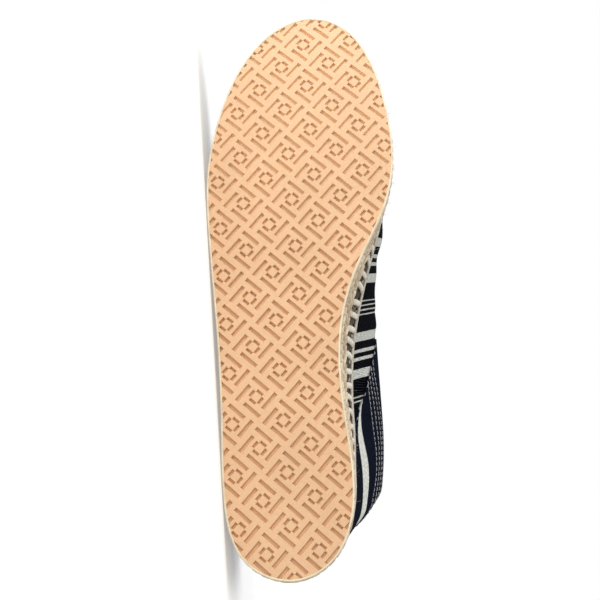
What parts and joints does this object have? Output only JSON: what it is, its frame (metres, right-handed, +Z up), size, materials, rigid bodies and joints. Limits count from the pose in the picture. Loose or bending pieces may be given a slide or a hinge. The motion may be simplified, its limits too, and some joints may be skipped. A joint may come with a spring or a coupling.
{
  "type": "platform espadrille",
  "caption": "Slip-on platform espadrille for a right foot, lying on its outer side: slotted rubber outsole, ribbed rope platform, insole and hollow canvas upper.",
  "frame": {"origin": "centre of the bounding box's underside: the floor under the lying shoe", "axes": "+X from toe to heel, -Y the way the tread faces, +Z up, towards the foot's inner side"},
  "size_m": [0.2574, 0.0848, 0.0871],
  "materials": {
    "outsole_rubber": "matte peach rubber with sunken slots",
    "jute_rope": "undyed twisted jute",
    "insole_cloth": "plain woven cloth",
    "striped_canvas": "navy canvas with woven off-white stripes"
  },
  "bodies": {
    "root": {"outsole": "outsole_rubber", "rope_midsole": "jute_rope", "insole": "insole_cloth", "upper": "striped_canvas"}
  },
  "joints": []
}
